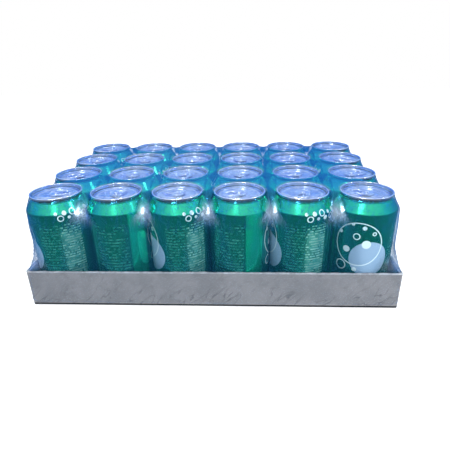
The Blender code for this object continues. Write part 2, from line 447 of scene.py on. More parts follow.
# Painted shade: what lies below the panel's level is darker, so the tab and rings stand out
LID_RECESS_SHADE = (0.44, 0.58, 0.94)
LID_RECESS_SHADE_SHARE = 0.75
LID_RECESS_SHADE_SOFT = 0.4
LID_ROUGH = (0.16, 0.28)
ROLLING = (0.05, 2.2, 1.0)
ROLLING_DEPTH, ROLLING_STRENGTH = 0.00003, 0.5


def lid_material():
    """Coated aluminium with fine rolling marks and a painted lilac-blue sky reflection in lighter and
    darker patches, with painted shade where the panel is sunk.
    """
    m = Material("can_end_metal")
    *spot, here = m.place()
    z = spot[2]
    rolled = m.noise(m.scaled(spot, ROLLING), 1.0, 4.0)
    # Painted reflection: a lilac-blue sky tint in lighter and darker patches
    colour = m.mix(m.ramp(m.noise(here, 0.12, 2.0), 0.35, 0.65), LID_SILVER_SKY_DARK, LID_SILVER_SKY_LIGHT)
    # Painted shade in the recesses below the panel's level
    recess_shade_line = (PANEL_HEIGHT - LID_RECESS_SHADE_SOFT, PANEL_HEIGHT + LID_RECESS_SHADE_SOFT)
    colour = m.mix(m.ramp(z, *recess_shade_line, LID_RECESS_SHADE_SHARE, 0.0), colour, LID_RECESS_SHADE)
    m.bump(rolled, ROLLING_DEPTH, ROLLING_STRENGTH)
    rough = m.ramp(rolled, 0.3, 0.7, *LID_ROUGH)
    return m.finish(Base_Color=colour, Roughness=rough, Metallic=1.0)


BOARD_COLOUR = (0.228, 0.223, 0.227)
BOARD_DARK = (0.178, 0.176, 0.182)
BOARD_LIGHT = (0.36, 0.36, 0.37)
# Painted shade that darkens the thin creases
BOARD_CREASE_SHADE = (0.12, 0.12, 0.13)
# Lighter top edge: partly the board's cut edge, partly a painted highlight where the film bends over
# the rim
BOARD_EDGE_AND_HIGHLIGHT = (0.52, 0.53, 0.55)
# Painted shadow: a dark line along the foot where the tray meets the floor
FOOT_PAINTED_SHADOW = (0.010, 0.012, 0.016)
FIBRES, FIBRE_SHARE = (0.6, 0.6, 2.4), 0.34
CREASES, CREASE_LEAN, CREASE_WIDTH = (1.0, 0.6, 0.4), -0.9, 0.024
CREASE_SHARE, HIGH_CREASE_SHARE = 0.8, 0.25
CREASE_FADE = (12.0, 30.0)
RIM_BELOW_EDGE = (2.4, 1.5)
LEAST_RIM = 0.40
FOOT_SHADOW_LINE = (2.3, 3.2)
RIB_BUMP, CREASE_BUMP = 0.2, -1.5
BOARD_DEPTH, BOARD_STRENGTH = 0.00015, 0.6
BOARD_ROUGH, BOARD_SPECULAR = 0.85, 0.25


def board_material():
    """Grey cardboard: mottled liner with fibres, leaning creases and the ribs of its flutes, with
    painted shade in the creases, a top edge lighter partly by a painted highlight, and a painted
    shadow along the foot.
    """
    m = Material("grey_board")
    x, y, z, here = m.place()
    fibre = m.noise(m.scaled((x, y, z), FIBRES), 1.0, 5.0, 0.65)
    colour = m.mix(m.ramp(m.noise(here, 0.04, 4.0, 0.6), 0.35, 0.65), BOARD_DARK, BOARD_COLOUR)
    colour = m.mix(m.ramp(fibre, 0.35, 0.75, 0.0, FIBRE_SHARE), colour, BOARD_LIGHT)
    leaning = m.maths("MULTIPLY_ADD", z, CREASE_LEAN, x)
    strokes = m.creases(m.scaled((leaning, y, z), CREASES), 0.075, CREASE_WIDTH)
    fine = m.product(strokes, m.ramp(m.noise(here, 0.03), 0.36, 0.50))
    low_half = m.ramp(z, *CREASE_FADE, 1.0, HIGH_CREASE_SHARE)
    # Painted shade: the creases are darkened, more in the lower half
    colour = m.mix(m.product(fine, low_half, CREASE_SHARE), colour, BOARD_CREASE_SHADE)
    # The top edge is lighter in patches: partly the cut edge, partly a painted highlight
    rim = m.ramp(z, *(TRAY_HIGH.z - depth for depth in RIM_BELOW_EDGE))
    rim_patches = m.ramp(m.noise(here, 0.22, 3.0), 0.35, 0.65, LEAST_RIM, 1.0)
    colour = m.mix(m.product(rim, rim_patches), colour, BOARD_EDGE_AND_HIGHLIGHT)
    # Painted shadow along the foot of the tray
    colour = m.mix(m.ramp(z, *FOOT_SHADOW_LINE, 1.0, 0.0), colour, FOOT_PAINTED_SHADOW)
    ribs = m.maths("SINE", m.product(m.total(x, y), 2 * math.pi / FLUTE_PITCH))
    height = m.total(m.product(ribs, RIB_BUMP), fibre, m.product(fine, CREASE_BUMP))
    m.bump(height, BOARD_DEPTH, BOARD_STRENGTH)
    return m.finish(Base_Color=colour, Roughness=BOARD_ROUGH, Specular_IOR_Level=BOARD_SPECULAR)


# Tints of the film's gloss, painted reflections: sky blue between the cans, pale on the lids and
# sides
FILM_SKY_REFLECTION = (0.05, 0.42, 0.80)
FILM_PALE_REFLECTION = (0.62, 0.78, 1.0)
FILM_EDGE = (0.45, 0.75, 1.0)
FILM_LID_REFLECTION = (0.80, 0.88, 1.0)
FILM_ROUGH = (0.12, 0.22)
FILM_METAL = 0.85
SLACK = "slack"

# Opacity: clear and hazy patches on the lids, then straight on and at a low angle where the
# film is held against a can and where it hangs free
LID_ALPHA = (0.14, 0.44)
HELD_ALPHA = (0.06, 0.85)
FREE_ALPHA = (0.18, 0.54)
# What gathered and streaked film adds to it
TOP_EDGE_HAZE, LOW_CORNER_HAZE, BACK_EDGE_HAZE = 0.24, 0.07, 0.44
STREAK_HAZE, LOW_CORNER_STREAKS = 0.30, 0.5
STREAKS, STREAK_WIDTH = (0.25, 0.25, 0.04), 0.05
CRINKLE_BUMP = 0.60
FILM_BUMP_DEPTH, FILM_BUMP_STRENGTH = 0.0012, 0.35

# Where the film's parts begin and end: beyond the outer cans' axes, along Y, and in height
OUTSIDE, IN_CORNER = (8.0, 22.0), (2.0, 20.0)
AT_FRONT = (-HALF_STACK - 20.0, -HALF_STACK - 4.0)
AT_BACK = (HALF_STACK - 14.0, HALF_STACK + 2.0)
ABOVE_TRAY, BELOW_SHOULDERS = (43.0, 50.0), (55.0, 85.0)
AT_SHOULDERS, STREAKS_START = (92.0, 108.0), (84.0, 98.0)
BACK_TOP, BELOW_LIDS = (106.0, 112.0), (108.0, 114.0)
ON_LIDS = (FILM_HIGH.z - 1.8, FILM_HIGH.z - 0.7)


def film_parts(m, x, y, z):
    """Masks of the outer sides, their upper part, the low corners, the back edge and the lids."""
    beyond_x = m.maths("SUBTRACT", m.maths("ABSOLUTE", x), HALF_ROW)
    beyond_y = m.maths("SUBTRACT", m.maths("ABSOLUTE", y), HALF_STACK)
    in_corner = m.ramp(m.maths("MINIMUM", beyond_x, beyond_y), *IN_CORNER)
    low = m.ramp(z, *BELOW_SHOULDERS, 1.0, 0.0)
    return SimpleNamespace(
        outside=m.ramp(m.maths("MAXIMUM", beyond_x, beyond_y), *OUTSIDE),
        high=m.ramp(z, *AT_SHOULDERS),
        low_corner=m.product(in_corner, low, m.ramp(z, *ABOVE_TRAY)),
        back_edge=m.product(m.ramp(y, *AT_BACK), m.ramp(z, *BACK_TOP)),
        lids=m.ramp(z, *ON_LIDS),
    )


def film_alpha(m, spot, here, parts, slack, tight):
    """Opacity: more at a low angle, and where the film hangs free, is gathered or is streaked."""
    facing = m.new("ShaderNodeLayerWeight", {"Blend": 0.5}).outputs["Facing"]
    gathered = m.total(
        m.product(parts.outside, parts.high, TOP_EDGE_HAZE),
        m.product(parts.low_corner, LOW_CORNER_HAZE),
        m.product(parts.back_edge, BACK_EDGE_HAZE),
    )
    patches = m.ramp(m.noise(here, 0.13, 3.0), 0.40, 0.64, *LID_ALPHA)
    held = m.mix(parts.lids, m.ramp(facing, 0.3, 1.0, *HELD_ALPHA), patches)
    free = m.total(m.ramp(facing, 0.0, 0.8, *FREE_ALPHA), gathered)
    near_top = m.product(parts.outside, m.ramp(spot[2], *STREAKS_START))
    streaked = m.maths("MAXIMUM", near_top, m.product(parts.low_corner, LOW_CORNER_STREAKS))
    lines = m.creases(m.scaled(spot, STREAKS), 1.0, STREAK_WIDTH)
    streaks = m.product(lines, streaked, STREAK_HAZE)
    alpha = m.total(m.product(free, slack), m.product(held, tight), streaks)
    return m.maths("MINIMUM", alpha, 1.0)


def film_colour(m, y, z, parts, slack, tight):
    """Painted reflection colour: sky blue between the cans, and pale on the lids, in the low corners
    and down the outer sides.
    """
    front = m.ramp(y, *AT_FRONT, 1.0, 0.0)
    below_lids = m.ramp(z, *BELOW_LIDS, 1.0, 0.0)
    sides = m.product(m.maths("MAXIMUM", front, below_lids), parts.outside, parts.high)
    pale = m.product(m.maths("MAXIMUM", sides, parts.low_corner), slack)
    return m.mix(m.product(parts.lids, tight), m.mix(pale, FILM_SKY_REFLECTION, FILM_PALE_REFLECTION), FILM_LID_REFLECTION)


def film_material():
    """Clear film: a bluish gloss at a low angle, its blue a painted sky reflection, hazier where it
    hangs free or is gathered.
    """
    m = Material("shrink_film")
    *spot, here = m.place()
    x, y, z = spot
    slack = m.new("ShaderNodeAttribute", attribute_name=SLACK).outputs["Fac"]
    tight = m.maths("SUBTRACT", 1.0, slack)
    parts = film_parts(m, x, y, z)
    crinkle = m.product(m.noise(here, 0.26, 3.0), parts.lids, CRINKLE_BUMP)
    m.bump(m.total(m.noise(here, 0.10, 2.0), crinkle), FILM_BUMP_DEPTH, FILM_BUMP_STRENGTH)
    rough = m.ramp(slack, 0.0, 1.0, *FILM_ROUGH)
    colour = film_colour(m, y, z, parts, slack, tight)
    m.finish(Base_Color=colour, Roughness=rough, Metallic=FILM_METAL)
    alpha = film_alpha(m, spot, here, parts, slack, tight)
    return m.finish(Alpha=alpha, Specular_Tint=FILM_EDGE)


# Cans: outlines are (radius, height) points
BOTTOM_DOME = [(0, 10.5), (8, 9.8), (15, 7.6), (20, 4.6), (22.6, 1.9)]
BOTTOM_FLARE = [(26.6, 3.6), (29.4, 6.4), (31.6, 9.2), (32.7, 12.0)]
WALL_HEIGHTS = (15.0, 40.0, 70.0, 100.0)
SHOULDER_START = 104.5
SHOULDER_BEND = 4.5
CONE_SLOPE = 32.0
CONE_RISE = 8.53
NECK_AND_INSIDE = [(NECK_RADIUS, 119.3), (24.8, 119.2), (24.6, 114.5), (0, 114.5)]


def can_body_shell():
    """Drawn can with a domed bottom, a chime, a straight wall and a necked shoulder."""
    bend_rise = SHOULDER_BEND * math.sin(math.radians(CONE_SLOPE))
    neck_z = SHOULDER_START + bend_rise + CONE_RISE + bend_rise
    chime = arc(24.0, 1.3, 1.3, 200, 340, 5)
    profile = BOTTOM_DOME + chime + BOTTOM_FLARE
    profile += [(WALL_RADIUS, height) for height in WALL_HEIGHTS]
    profile += arc(WALL_RADIUS - SHOULDER_BEND, SHOULDER_START, SHOULDER_BEND, 0, CONE_SLOPE, 5)
    profile += arc(NECK_RADIUS + SHOULDER_BEND, neck_z, SHOULDER_BEND, 180 + CONE_SLOPE, 180, 5)
    return turned_shell(profile + NECK_AND_INSIDE, CAN_SIDES)


# Pressed panel of the end: heights and depths, with where they lie and how far they reach
SINK_DEPTH, SINK_EDGE = 0.45, (17.6, 19.2)
BEAD_HEIGHT, BEAD_RADIUS, BEAD_WIDTH = 0.35, 20.3, 0.7
MOUTH_X, MOUTH_HALF_SIZE, MOUTH_SCALE = -9.4, (8.4, 9.6), 9.0
MOUTH_LIP, MOUTH_LIP_INSET, MOUTH_LIP_WIDTH = 0.40, 1.4, 0.7
SCORE_DEPTH, SCORE_WIDTH = 0.30, 0.6
WELL_X, WELL_HALF_SIZE, WELL_DEPTH, WELL_EDGE = 13.5, (5.5, 6.5), 0.55, (0.6, 1.1)
BOSS_HEIGHT, BOSS_EDGE = 0.35, (3.6, 5.2)


def ridge(distance, width):
    """Rounded ridge, one in its middle."""
    return np.exp(-((distance / width) ** 2))


def panel_relief(x, y):
    """Height of the end's pressed panel: tab towards +X and pouring mouth towards -X."""
    radius = np.hypot(x, y)
    height = -SINK_DEPTH * (1 - smooth_step(radius, *SINK_EDGE))
    height += BEAD_HEIGHT * ridge(radius - BEAD_RADIUS, BEAD_WIDTH)
    mouth = np.hypot((x - MOUTH_X) / MOUTH_HALF_SIZE[0], y / MOUTH_HALF_SIZE[1])
    past_mouth = (mouth - 1) * MOUTH_SCALE
    height += MOUTH_LIP * ridge(past_mouth + MOUTH_LIP_INSET, MOUTH_LIP_WIDTH)
    height -= SCORE_DEPTH * ridge(past_mouth, SCORE_WIDTH)
    well = np.hypot((x - WELL_X) / WELL_HALF_SIZE[0], y / WELL_HALF_SIZE[1])
    height -= WELL_DEPTH * (1 - smooth_step(well, *WELL_EDGE))
    height += BOSS_HEIGHT * (1 - smooth_step(radius, *BOSS_EDGE))
    return height


# Ring-pull tab and its rivet
TAB_SIDES = 56
TAB_X, TAB_LENGTH, TAB_WIDTH = 4.5, 25.0, 16.0
TAB_TAPER, TAB_CORNERS = 0.10, 0.82
HOLE_X, HOLE_LENGTH, HOLE_WIDTH = 9.6, 11.5, 9.6
TAB_LOW, TAB_HIGH = PANEL_HEIGHT + 0.25, PANEL_HEIGHT + 1.85
TAB_EDGE, TAB_ROLL = 0.5, 1.1
TAB_DISH, TAB_DISH_EDGE = 0.45, (1.0, 2.0)
TAB_SHARES = (0.0, 0.03, 0.08, 0.16, 0.28, 0.42, 0.56, 0.70, 0.82, 0.91, 0.97, 1.0)
RIVET_RADIUS, RIVET_ROUND, RIVET_SIDES = 3.0, 1.2, 32
TAB_BELOW_SEAM = 3.0


def tab_shell():
    """Ring-pull tab with rolled rims, from its finger hole to its outer edge and back below."""
    angles = np.arange(TAB_SIDES) * 2 * math.pi / TAB_SIDES
    cosine, sine = np.cos(angles), np.sin(angles)
    forward = np.sign(cosine) * np.abs(cosine) ** TAB_CORNERS
    sideways = np.sign(sine) * np.abs(sine) ** TAB_CORNERS
    taper = 1 - TAB_TAPER * forward
    outer = np.stack([TAB_X + forward * TAB_LENGTH / 2, sideways * taper * TAB_WIDTH / 2], 1)
    hole = np.stack([HOLE_X + forward * HOLE_LENGTH / 2, sideways * HOLE_WIDTH / 2], 1)
    span = np.hypot(*(outer - hole).T)
    loops = []
    for share in TAB_SHARES:
        place = hole + (outer - hole) * share
        depth = np.minimum(share * span, (1 - share) * span)
        rise = np.sqrt(1 - (1 - np.clip(depth / TAB_ROLL, 0, 1)) ** 2)
        height = TAB_LOW + TAB_EDGE + (TAB_HIGH - TAB_LOW - TAB_EDGE) * rise
        height -= TAB_DISH * smooth_step(depth, *TAB_DISH_EDGE)
        loops.append([(*spot, z) for spot, z in zip(place, height)])
    loops += [[(*spot, TAB_LOW) for spot in edge] for edge in (outer, hole)]
    return looped_shell(loops[::-1])


def rivet_shell():
    """Round head of the rivet that holds the tab."""
    profile = [(0, TAB_LOW), (RIVET_RADIUS, TAB_LOW), (RIVET_RADIUS, TAB_HIGH - 0.2)]
    profile += arc(RIVET_RADIUS - RIVET_ROUND, TAB_HIGH - 0.3, RIVET_ROUND, 10, 80, 4)
    profile.append((0, TAB_HIGH + 0.95))
    return turned_shell(profile, RIVET_SIDES)


def can_end_shell():
    """Easy-open end: double seam, chuck wall, countersink and pressed panel, with its tab."""
    underside = [(0, 115.0), (23.4, 115.0), (25.6, 119.35), (26.9, 119.5)]
    seam = arc(26.8, 120.1, 0.6, -80, 0, 3) + arc(26.55, 121.15, 0.85, 0, 180, 9)
    chuck_wall = [(25.45, 120.0), (24.6, 117.6), (23.9, 116.4)]
    countersink = arc(23.2, 116.3, 0.6, -20, -160, 4) + arc(22.0, 117.3, 0.7, -5, 85, 5)[1:]
    panel = [(radius, PANEL_HEIGHT) for radius in np.arange(21.4, 0.6, -0.8)]
    profile = underside + seam + chuck_wall + countersink + panel + [(0, PANEL_HEIGHT)]
    points, faces = turned_shell(profile, CAN_SIDES)
    spots = np.array(points)
    x, y, z = spots.T
    on_panel = (np.hypot(x, y) < PANEL_RADIUS) & (z > PANEL_HEIGHT - 0.1)
    z[on_panel] += panel_relief(x[on_panel], y[on_panel])
    return joined_shells([(spots.tolist(), faces), tab_shell(), rivet_shell()])


def tab_turn(place):
    """Direction of a can's tab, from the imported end's points that stand above its panel."""
    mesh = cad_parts[f"can_end_{place}"].data
    spots = np.array([vertex.co for vertex in mesh.vertices]) / MM - np.array(CAN_AXES[place])
    raised = spots[:, 2] > spots[:, 2].max() - TAB_BELOW_SEAM
    inner = np.hypot(spots[:, 0], spots[:, 1]) < PANEL_RADIUS
    tab = spots[raised & inner]
    return math.atan2(tab[:, 1].mean(), tab[:, 0].mean())


def print_turn(place):
    """Direction of the middle of a can's print, in degrees from +X."""
    row, column = int(place[1]), int(place[3])
    if row == 1:
        return FRONT_PRINT_TURNS[column - 1]
    return GOLDEN_ANGLE * (row * COLUMNS + column) % 360


def build_cans():
    body_shell, end_shell = can_body_shell(), can_end_shell()
    printed, silver = print_material(), lid_material()
    for place in PLACES:
        body_mesh = shell_mesh(f"body_{place}", body_shell)
        turns = body_mesh.attributes.new(PRINT_TURN, "FLOAT", "POINT").data
        turns.foreach_set("value", np.full(len(turns), print_turn(place)))
        end_mesh = shell_mesh(f"end_{place}", end_shell, turn=tab_turn(place))
        pieces = (
            add_piece(f"body_{place}", body_mesh, printed, [f"can_body_{place}"]),
            add_piece(f"end_{place}", end_mesh, silver, [f"can_end_{place}"]),
        )
        for piece in pieces:
            piece.location = (CAN_AXES[place].x * MM, CAN_AXES[place].y * MM, CAN_BASE * MM)


# Tray, with the play that it has beyond the cans at its +X end. The play fades out in two
# steps up the film above the tray: to half of it, then to none.
END_PLAY = 3.5
PLAY_FIRST_FADE, PLAY_LAST_FADE = (46, 92), (104, 118)
LINER = 0.3
FLUTE_PITCH = 3.2
FLUTE_SHEET = 0.18
FLUTE_DEPTH = 12.0
FLUTE_WAVE_POINTS = 8
BOARD = 1.4
CORNER_ROUND, CORNER_STEPS = 1.6, 4
LEAST_ROUND = 0.2
EDGE_STEP = 2.5
EDGE_WEAR, EDGE_WEAR_LENGTH = 0.9, 4.5
FLOOR_BOARD = 1.5
FLAP_LENGTH, FLAP_DROP = 22.0, 1.0


def with_end_play(points):
    """Moves the +X end out by the tray's play."""
    x, z = points[:, 0], points[:, 2]
    share = smooth_step(x, HALF_ROW, TRAY_HIGH.x) * (1 - 0.5 * smooth_step(z, *PLAY_FIRST_FADE))
    points[:, 0] += END_PLAY * share * (1 - smooth_step(z, *PLAY_LAST_FADE))
    return points


def points_between(start, goal, step):
    """Points on the way between two points, about one step apart."""
    pieces = max(1, round(math.dist(start, goal) / step))
    way = (goal[0] - start[0], goal[1] - start[1])
    return [
        (start[0] + way[0] * n / pieces, start[1] + way[1] * n / pieces) for n in range(1, pieces)
    ]


def rounded_rectangle(half_x, half_y, radius, step):
    """Closed outline with round corners, its sides cut into steps of about one length."""
    x, y = half_x - radius, half_y - radius
    corners = [
        arc(side_x * x, side_y * y, radius, start, start + 90, CORNER_STEPS)
        for side_x, side_y, start in ((1, -1, -90), (1, 1, 0), (-1, 1, 90), (-1, -1, 180))
    ]
    outline = []
    for corner, after in zip(corners, corners[1:] + corners[:1]):
        outline += corner + points_between(corner[-1], after[0], step)
    return outline


def wall_shell(outer, inner, low, top_height):
    """Upright ring between two equally long outlines, with an uneven cut edge."""
    loops = [
        [(*spot, low) for spot in outer],
        [(*spot, low + (top_height(spot) - low) / 2) for spot in outer],
        [(*spot, top_height(spot)) for spot in outer],
        [(*spot, top_height(spot)) for spot in inner],
        [(*spot, low) for spot in inner],
    ]
    return looped_shell(loops)


def flute_shell(middle_line, low, top_height):
    """Wavy inner sheet of the board along a closed line, near the cut edge."""
    line = np.array(middle_line)
    step = np.roll(line, -1, 0) - line
    lengths = np.hypot(*step.T)
    total = lengths.sum()
    waves = round(total / FLUTE_PITCH)
    count = waves * FLUTE_WAVE_POINTS
    start = np.concatenate([[0], np.cumsum(lengths)])
    closed = np.vstack([line, line[:1]])
    where = np.arange(count) * total / count
    x = np.interp(where, start, closed[:, 0])
    y = np.interp(where, start, closed[:, 1])
    tangent = np.stack([np.roll(x, -1) - np.roll(x, 1), np.roll(y, -1) - np.roll(y, 1)], 1)
    tangent /= np.hypot(*tangent.T)[:, None]
    outward = np.stack([tangent[:, 1], -tangent[:, 0]], 1)
    swing = (BOARD / 2 - LINER - FLUTE_SHEET / 2) * np.sin(2 * math.pi * waves * where / total)
    sides = []
    for half in (FLUTE_SHEET / 2, -FLUTE_SHEET / 2):
        sides.append(np.stack([x, y], 1) + outward * (swing + half)[:, None])
    loops = [
        [(*spot, low) for spot in sides[0]],
        [(*spot, top_height(spot)) for spot in sides[0]],
        [(*spot, top_height(spot)) for spot in sides[1]],
        [(*spot, low) for spot in sides[1]],
    ]
    return looped_shell(loops)


def block_shell(low, high):
    """Box between two corners."""
    corners = [(low[0], low[1]), (high[0], low[1]), (high[0], high[1]), (low[0], high[1])]
    points = [(*corner, low[2]) for corner in corners] + [(*corner, high[2]) for corner in corners]
    faces = [(3, 2, 1, 0), (4, 5, 6, 7), (0, 1, 5, 4), (1, 2, 6, 5), (2, 3, 7, 6), (3, 0, 4, 7)]
    return points, faces


def tray_edge(spot):
    """Height of the tray's uneven cut edge at a spot."""
    u, v = spot[0] / EDGE_WEAR_LENGTH + 90, spot[1] / EDGE_WEAR_LENGTH + 40
    return TRAY_HIGH.z - EDGE_WEAR * float(lattice_noise(np.array(u), np.array(v), 5))


def flap_shells(floor_top):
    """Flaps folded in along the end walls, one in each corner."""
    shells = []
    for side in (-1, 1):
        for end in (-1, 1):
            x = sorted((side * (TRAY_HIGH.x - BOARD), side * (TRAY_HIGH.x - 2 * BOARD)))
            y = sorted((end * (TRAY_HIGH.y - BOARD), end * (TRAY_HIGH.y - BOARD - FLAP_LENGTH)))
            low, high = (x[0], y[0], floor_top), (x[1], y[1], TRAY_HIGH.z - FLAP_DROP)
            shells.append(block_shell(low, high))
    return shells


def build_tray():
    inner_x, inner_y = TRAY_HIGH.x - BOARD, TRAY_HIGH.y - BOARD
    floor_top = TRAY_LOW.z + FLOOR_BOARD

    def ring(inset):
        half_x, half_y = TRAY_HIGH.x - inset, TRAY_HIGH.y - inset
        return rounded_rectangle(half_x, half_y, max(CORNER_ROUND - inset, LEAST_ROUND), EDGE_STEP)

    shells = [
        wall_shell(ring(0), ring(LINER), TRAY_LOW.z, tray_edge),
        wall_shell(ring(BOARD - LINER), ring(BOARD), TRAY_LOW.z, tray_edge),
        flute_shell(ring(BOARD / 2), TRAY_HIGH.z - FLUTE_DEPTH, tray_edge),
        block_shell((-inner_x, -inner_y, TRAY_LOW.z), (inner_x, inner_y, floor_top)),
        *flap_shells(floor_top),
    ]
    points, faces = joined_shells(shells)
    mesh = shell_mesh("tray", (with_end_play(np.array(points)), faces))
    add_piece("board_tray", mesh, board_material(), ["tray"])


# Film
FILM_GAP = 0.3
LID_REACH = 27.9
HUG_REACH = 33.4
FILM_STEP = 4.3
FILM_ROUNDS = 260
FILM_LAST_ROUNDS = 60
UPRIGHT_SHARE, UPRIGHT_PULL = 0.7, 4.0
FILM_BOTTOM = 0.2
SLACK_ROOM, SLACK_START = (FILM_GAP + 0.1, FILM_GAP + 2.5), (40.0, 48.0)


def can_planes():
    """Lines (r, z, limit) round the tight outline of a can, which the film can't pass."""
    outline = [(WALL_RADIUS, 0.0), (WALL_RADIUS, SHOULDER_START), (32.8, 105.8), (32.3, 107.0)]
    outline += [(SEAM_RADIUS, 121.2), (27.1, 121.8), (26.4, CAN_HEIGHT), (0.0, CAN_HEIGHT)]
    planes = []
    for (r0, z0), (r1, z1) in zip(outline, outline[1:]):
        length = math.hypot(r1 - r0, z1 - z0)
        normal = ((z1 - z0) / length, (r0 - r1) / length)
        planes.append((*normal, normal[0] * r0 + normal[1] * z0))
    return planes


def room_to_cans(points, planes):
    """Distance to the nearest can's tight outline, with the direction straight out of it."""
    axis = []
    for value, half in ((points[:, 0], HALF_ROW), (points[:, 1], HALF_STACK)):
        axis.append(np.clip(np.round((value + half) / CAN_PITCH) * CAN_PITCH - half, -half, half))
    across, along = points[:, 0] - axis[0], points[:, 1] - axis[1]
    radius = np.maximum(np.hypot(across, along), 1e-6)
    height = points[:, 2] - CAN_BASE
    nearest = np.full(len(points), -np.inf)
    radial, upward = np.zeros(len(points)), np.zeros(len(points))
    for normal_r, normal_z, limit in planes:
        distance = normal_r * radius + normal_z * height - limit
        closer = distance > nearest
        nearest = np.where(closer, distance, nearest)
        radial = np.where(closer, normal_r, radial)
        upward = np.where(closer, normal_z, upward)
    return nearest, np.stack([radial * across / radius, radial * along / radius, upward], 1)


def push_out_of_cans(points, planes):
    """Moves points that are inside a can, or too near it, straight out of it."""
    nearest, outward = room_to_cans(points, planes)
    points += np.maximum(FILM_GAP - nearest, 0)[:, None] * outward


def push_out_of_tray(points):
    room = np.stack([
        TRAY_HIGH.x + FILM_GAP - np.abs(points[:, 0]),
        TRAY_HIGH.y + FILM_GAP - np.abs(points[:, 1]),
        TRAY_HIGH.z + FILM_GAP - points[:, 2],
    ])
    inside = (room > 0).all(0)
    least = room.argmin(0)
    for axis in range(3):
        chosen = inside & (least == axis)
        sign = np.sign(points[chosen, axis]) if axis < 2 else 1.0
        points[chosen, axis] += sign * room[axis, chosen]


def film_grid():
    """Flat grid over the lids as (x, y) in a square-cornered frame, and its rim in order."""
    half_x, half_y = HALF_ROW + LID_REACH, HALF_STACK + LID_REACH
    count_x, count_y = round(2 * half_x / FILM_STEP), round(2 * half_y / FILM_STEP)
    x = np.linspace(-half_x, half_x, count_x + 1)
    y = np.linspace(-half_y, half_y, count_y + 1)
    index = np.arange((count_x + 1) * (count_y + 1)).reshape(count_x + 1, count_y + 1)
    rim = np.concatenate([index[:-1, 0], index[-1, :-1], index[:0:-1, -1], index[0, :0:-1]])
    spots = np.stack(np.meshgrid(x, y, indexing="ij"), -1).reshape(-1, 2)
    return spots, index, rim


def rounded_spots(spots, reach, squareness):
    """Carries grid spots to a level whose edge is one reach beyond the outer cans' axes."""
    half = np.array([HALF_ROW, HALF_STACK])
    beyond = np.maximum(np.abs(spots) - half, 0) / LID_REACH
    both = beyond[:, ::-1]
    bent = beyond * np.sqrt(1 - both**2 / 2)
    moved = (bent * (1 - squareness) + beyond * squareness) * reach
    return np.sign(spots) * (np.minimum(np.abs(spots), half) + moved)


def film_levels():
    """Heights down the sides with the film's first reach and squareness at each."""
    tray_reach = TRAY_HIGH.x + FILM_GAP - HALF_ROW
    levels = (
        (FILM_BOTTOM, tray_reach, 1.0),
        (TRAY_HIGH.z + FILM_GAP, tray_reach, 1.0),
        (53.0, HUG_REACH + 0.5, 0.4),
        (64.0, HUG_REACH, 0.05),
        (107.0, HUG_REACH, 0.0),
        (FILM_HIGH.z, LID_REACH, 0.0),
    )
    heights, reaches, squares = zip(*levels)
    count = round((FILM_HIGH.z - FILM_BOTTOM) / FILM_STEP)
    places = np.linspace(FILM_HIGH.z, FILM_BOTTOM, count + 1)[1:]
    return zip(places, np.interp(places, heights, reaches), np.interp(places, heights, squares))


def film_points_and_faces():
    """First shape of the film: a flat top, sides down its rim and a flat bottom."""
    spots, index, rim = film_grid()
    top = rounded_spots(spots, LID_REACH, 0.0)
    blocks = [np.column_stack([top, np.full(len(top), FILM_HIGH.z)])]
    faces = [
        (index[i, j], index[i + 1, j], index[i + 1, j + 1], index[i, j + 1])
        for i in range(index.shape[0] - 1)
        for j in range(index.shape[1] - 1)
    ]
    loop, start = rim, len(top)
    for height, reach, squareness in film_levels():
        ring = rounded_spots(spots[rim], reach, squareness)
        blocks.append(np.column_stack([ring, np.full(len(ring), height)]))
        lower = np.arange(start, start + len(rim))
        faces += list(zip(loop, lower, np.roll(lower, -1), np.roll(loop, -1)))
        loop, start = lower, start + len(rim)
    under = rounded_spots(spots, reach, 1.0)
    edge_of = dict(zip(rim.tolist(), loop.tolist()))
    inner = [number for number in range(len(spots)) if number not in edge_of]
    number_of = dict(edge_of)
    number_of.update({number: start + place for place, number in enumerate(inner)})
    blocks.append(np.column_stack([under[inner], np.full(len(inner), FILM_BOTTOM)]))
    corners = (index[:-1, :-1], index[:-1, 1:], index[1:, 1:], index[1:, :-1])
    for four in zip(*(corner.ravel().tolist() for corner in corners)):
        faces.append(tuple(number_of[number] for number in four))
    return np.vstack(blocks), faces


def relax_film(mesh, rounds):
    """Draws the film tight: each point goes to its neighbours' mean, outside cans and tray."""
    size = len(mesh.vertices)
    points = np.empty(size * 3)
    mesh.vertices.foreach_get("co", points)
    points = points.reshape(-1, 3) / MM
    edges = np.empty(len(mesh.edges) * 2, int)
    mesh.edges.foreach_get("vertices", edges)
    edges = edges.reshape(-1, 2)
    ends = np.concatenate([edges[:, 0], edges[:, 1]])
    others = np.concatenate([edges[:, 1], edges[:, 0]])
    along = points[ends] - points[others]
    upright = np.abs(along[:, 2]) > UPRIGHT_SHARE * np.sqrt((along**2).sum(1))
    weight = np.where(upright, UPRIGHT_PULL, 1.0)
    total = np.bincount(ends, weight, size)
    free = points[:, 2] > FILM_BOTTOM + 0.1
    planes = can_planes()
    for _ in range(rounds):
        pulls = [np.bincount(ends, weight * points[others, axis], size) for axis in range(3)]
        moving = np.stack(pulls, 1) / total[:, None]
        push_out_of_cans(moving, planes)
        push_out_of_tray(moving)
        points[free] = moving[free]
    mesh.vertices.foreach_set("co", (points * MM).ravel())
    mesh.update()
    return points


# Creases of the film, with the heights between which each kind comes or goes
PLEAT_HEIGHT, PLEAT_REACH, PLEAT_LEAN = 1.6, 28.0, 0.25
PLEATS_START, PLEATS_END = (40, 52), (84, 108)
FOLD_HEIGHT, FOLDS_START = 0.8, (50, 95)
CRINKLE_HEIGHT, CRINKLES_END = 0.5, (38, 44)
HEM_HEIGHT, HEM_END = 0.6, (4, 16)
FOOT_RISE = (0.2, 2.5)
RIPPLE_HEIGHT, SLACK_RIPPLE_HEIGHT = 0.10, 0.5


